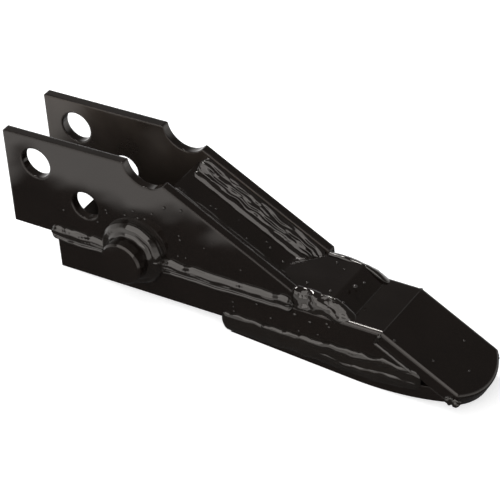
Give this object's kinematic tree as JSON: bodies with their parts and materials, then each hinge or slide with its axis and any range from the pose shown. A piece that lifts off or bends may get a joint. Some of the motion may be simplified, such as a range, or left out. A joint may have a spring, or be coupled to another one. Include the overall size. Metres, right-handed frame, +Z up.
{
  "type": "tiger tooth",
  "caption": "Welded steel ripper tooth: bolt-on side cheeks over a flat bar, sloping shin plate, rounded blade and wear shoe, gloss black.",
  "frame": {"origin": "on the ground under the middle of the tooth's bounding box", "axes": "+X towards the nose, +Y towards the left cheek along the bolt holes, +Z up with the heel of the bar and the flat of the wear shoe on the ground"},
  "size_m": [0.328, 0.0838, 0.0973],
  "materials": {
    "black_painted_plate": "gloss black paint over steel plate and bar",
    "black_painted_weld": "gloss black paint over rippled weld"
  },
  "bodies": {
    "root": {"base_bar": "black_painted_plate", "blade": "black_painted_plate", "left_blade_weld": "black_painted_weld", "left_cheek": "black_painted_plate", "left_front_seam_weld": "black_painted_weld", "left_nose_weld": "black_painted_weld", "left_pin_weld": "black_painted_weld", "left_rear_seam_weld": "black_painted_weld", "left_shin_weld": "black_painted_weld", "left_shoe_weld": "black_painted_weld", "left_stub_pin": "black_painted_plate", "left_tip_weld": "black_painted_weld", "right_blade_weld": "black_painted_weld", "right_cheek": "black_painted_plate", "right_front_seam_weld": "black_painted_weld", "right_nose_weld": "black_painted_weld", "right_pin_weld": "black_painted_weld", "right_rear_seam_weld": "black_painted_weld", "right_shin_weld": "black_painted_weld", "right_shoe_weld": "black_painted_weld", "right_stub_pin": "black_painted_plate", "right_tip_weld": "black_painted_weld", "shin_plate": "black_painted_plate", "shoe_end_weld": "black_painted_weld", "wear_shoe": "black_painted_plate"}
  },
  "joints": []
}
